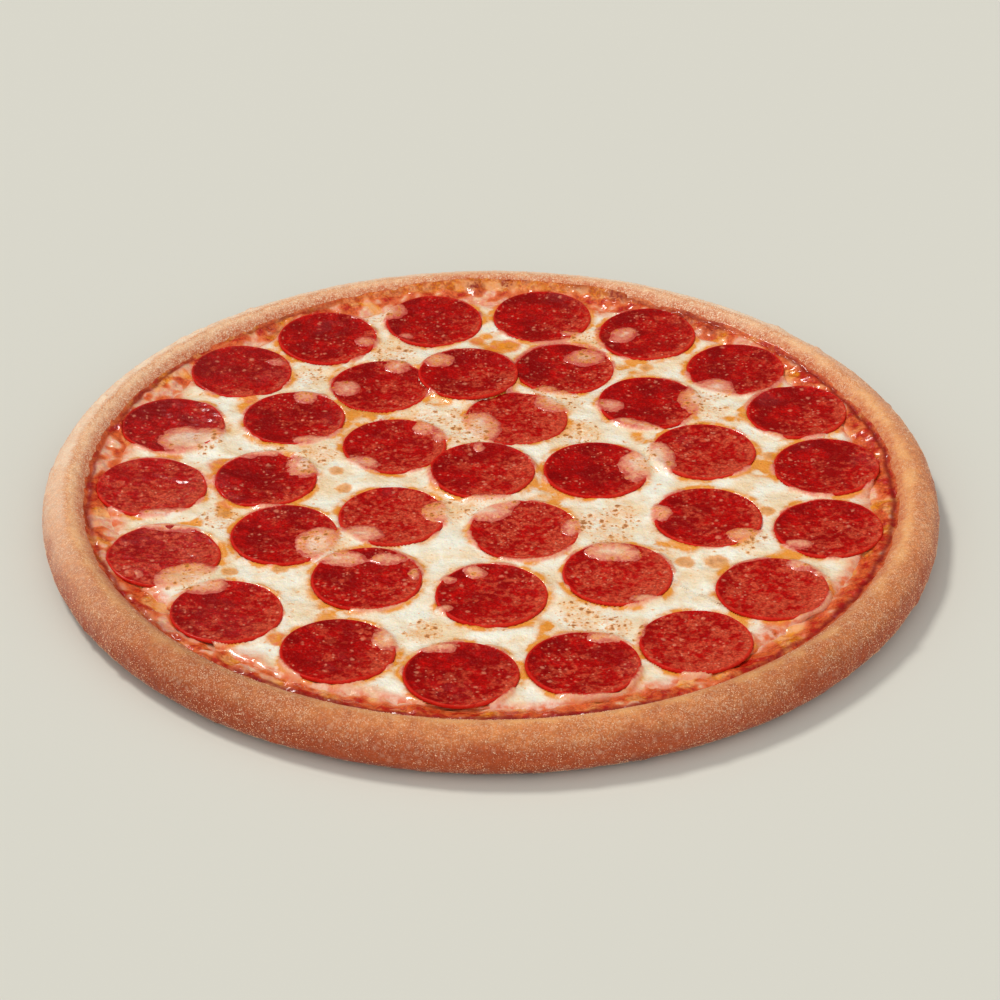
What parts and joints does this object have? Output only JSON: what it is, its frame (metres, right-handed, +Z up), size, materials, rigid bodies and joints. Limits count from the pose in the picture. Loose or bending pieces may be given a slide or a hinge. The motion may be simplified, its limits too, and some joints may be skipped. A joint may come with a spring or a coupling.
{
  "type": "pepperoni pizza",
  "caption": "Whole uncut pizza: a round dough base with a raised rim, tomato sauce and melted cheese, covered with slices of pepperoni.",
  "frame": {"origin": "centre of the pizza on the surface that it rests on", "axes": "+Z up out of the topping; -Y towards the side nearest the viewer in the picture, +X to the right"},
  "size_m": [0.3556, 0.3552, 0.02],
  "materials": {
    "baked_dough": "matt, floury",
    "tomato_sauce": "wet, lumpy",
    "melted_cheese": "smooth, oily",
    "cured_meat": "oily, grained"
  },
  "bodies": {
    "root": {"crust": "baked_dough", "sauce": "tomato_sauce", "cheese": "melted_cheese", "pepperoni_01": "cured_meat", "pepperoni_02": "cured_meat", "pepperoni_03": "cured_meat", "pepperoni_04": "cured_meat", "pepperoni_05": "cured_meat", "pepperoni_06": "cured_meat", "pepperoni_07": "cured_meat", "pepperoni_08": "cured_meat", "pepperoni_09": "cured_meat", "pepperoni_10": "cured_meat", "pepperoni_11": "cured_meat", "pepperoni_12": "cured_meat", "pepperoni_13": "cured_meat", "pepperoni_14": "cured_meat", "pepperoni_15": "cured_meat", "pepperoni_16": "cured_meat", "pepperoni_17": "cured_meat", "pepperoni_18": "cured_meat", "pepperoni_19": "cured_meat", "pepperoni_20": "cured_meat", "pepperoni_21": "cured_meat", "pepperoni_22": "cured_meat", "pepperoni_23": "cured_meat", "pepperoni_24": "cured_meat", "pepperoni_25": "cured_meat", "pepperoni_26": "cured_meat", "pepperoni_27": "cured_meat", "pepperoni_28": "cured_meat", "pepperoni_29": "cured_meat", "pepperoni_30": "cured_meat", "pepperoni_31": "cured_meat", "pepperoni_32": "cured_meat", "pepperoni_33": "cured_meat", "pepperoni_34": "cured_meat", "pepperoni_35": "cured_meat", "pepperoni_36": "cured_meat"}
  },
  "joints": []
}
